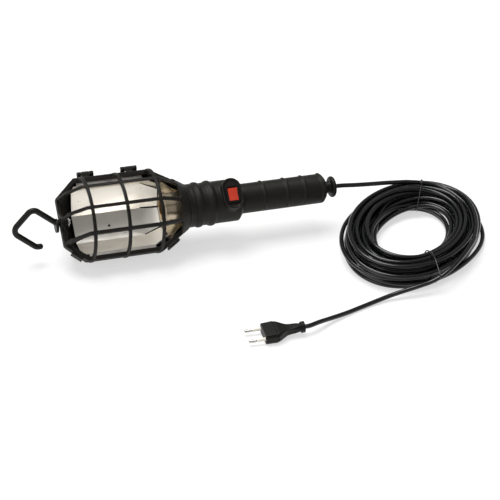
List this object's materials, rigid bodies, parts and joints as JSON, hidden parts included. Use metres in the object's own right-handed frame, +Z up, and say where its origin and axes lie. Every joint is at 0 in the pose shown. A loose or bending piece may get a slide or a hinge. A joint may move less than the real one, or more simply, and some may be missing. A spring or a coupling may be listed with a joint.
{
  "type": "work light",
  "caption": "Hand-held work light with a hinged barred cage and reflector, hook, rocker switch, ribbed grip and a coiled mains cord with a flat plug.",
  "frame": {"origin": "middle of the lamp at floor level, without the cord: the lowest point of the lamp body is at z = 0", "axes": "+X along the lamp from the hook to the cord, +Z up, +Y away from the side the cage door faces"},
  "size_m": [0.5721, 0.2654, 0.1008],
  "materials": {
    "black_rod": "satin",
    "steel": "zinc plated",
    "black_plastic": "moulded, fine grain",
    "reflector_sheet": "bright rolled sheet",
    "flare_sheet": "bright pressed sheet",
    "porcelain": "white glaze",
    "brass": "plain",
    "gloss_black": "polished",
    "red_plastic": "satin",
    "gland_plastic": "moulded",
    "clamp_plastic": "moulded",
    "cord_sheath": "glossy sheath",
    "brown_wire": "plain",
    "blue_wire": "plain",
    "tie_wire": "satin",
    "nickel": "nickel plated",
    "pale_plastic": "plain"
  },
  "bodies": {
    "body": {"cage_rear": "black_plastic", "hinge_pins": "steel", "reflector": "reflector_sheet", "reflector_flare": "flare_sheet", "collar_screws": "steel", "lampholder_body": "porcelain", "lampholder_screws": "steel", "screw_shell": "brass", "centre_contact": "brass", "side_contact": "brass", "terminal_screws": "steel", "neck_housing": "black_plastic", "switch_case": "gloss_black", "switch_terminals": "brass", "grip": "black_plastic", "grip_screws": "steel", "gland": "gland_plastic", "cord_clamp": "clamp_plastic", "clamp_screws": "steel", "cord_tail": "cord_sheath", "wire_live": "brown_wire", "wire_switched": "brown_wire", "wire_neutral": "blue_wire", "cord_lead_out": "cord_sheath", "cord_coil": "cord_sheath", "cord_lead_plug": "cord_sheath", "tie_rear": "tie_wire", "tie_front": "tie_wire", "plug_body": "cord_sheath", "plug_pins": "nickel", "pin_sleeves": "pale_plastic"},
    "hook": {"hook": "black_rod", "hook_washer": "steel", "hook_screw": "steel"},
    "door": {"cage_door": "black_plastic"},
    "rocker": {"rocker": "red_plastic"}
  },
  "joints": [
    {"name": "hook_swivel", "type": "hinge", "parent": "body", "child": "hook", "pos_m": [-0.1399, 0, 0.0508], "axis": [1, 0, 0], "continuous": true},
    {"name": "door_hinge", "type": "hinge", "parent": "body", "child": "door", "pos_m": [-0.07665, 0.04274, 0.08541], "axis": [-1, 0, 0], "range_deg": [0, 135]},
    {"name": "rocker_tilt", "type": "hinge", "parent": "body", "child": "rocker", "pos_m": [0.0603, -0.01777, 0.07115], "axis": [-1, 0, 0], "range_deg": [0, 20]}
  ]
}
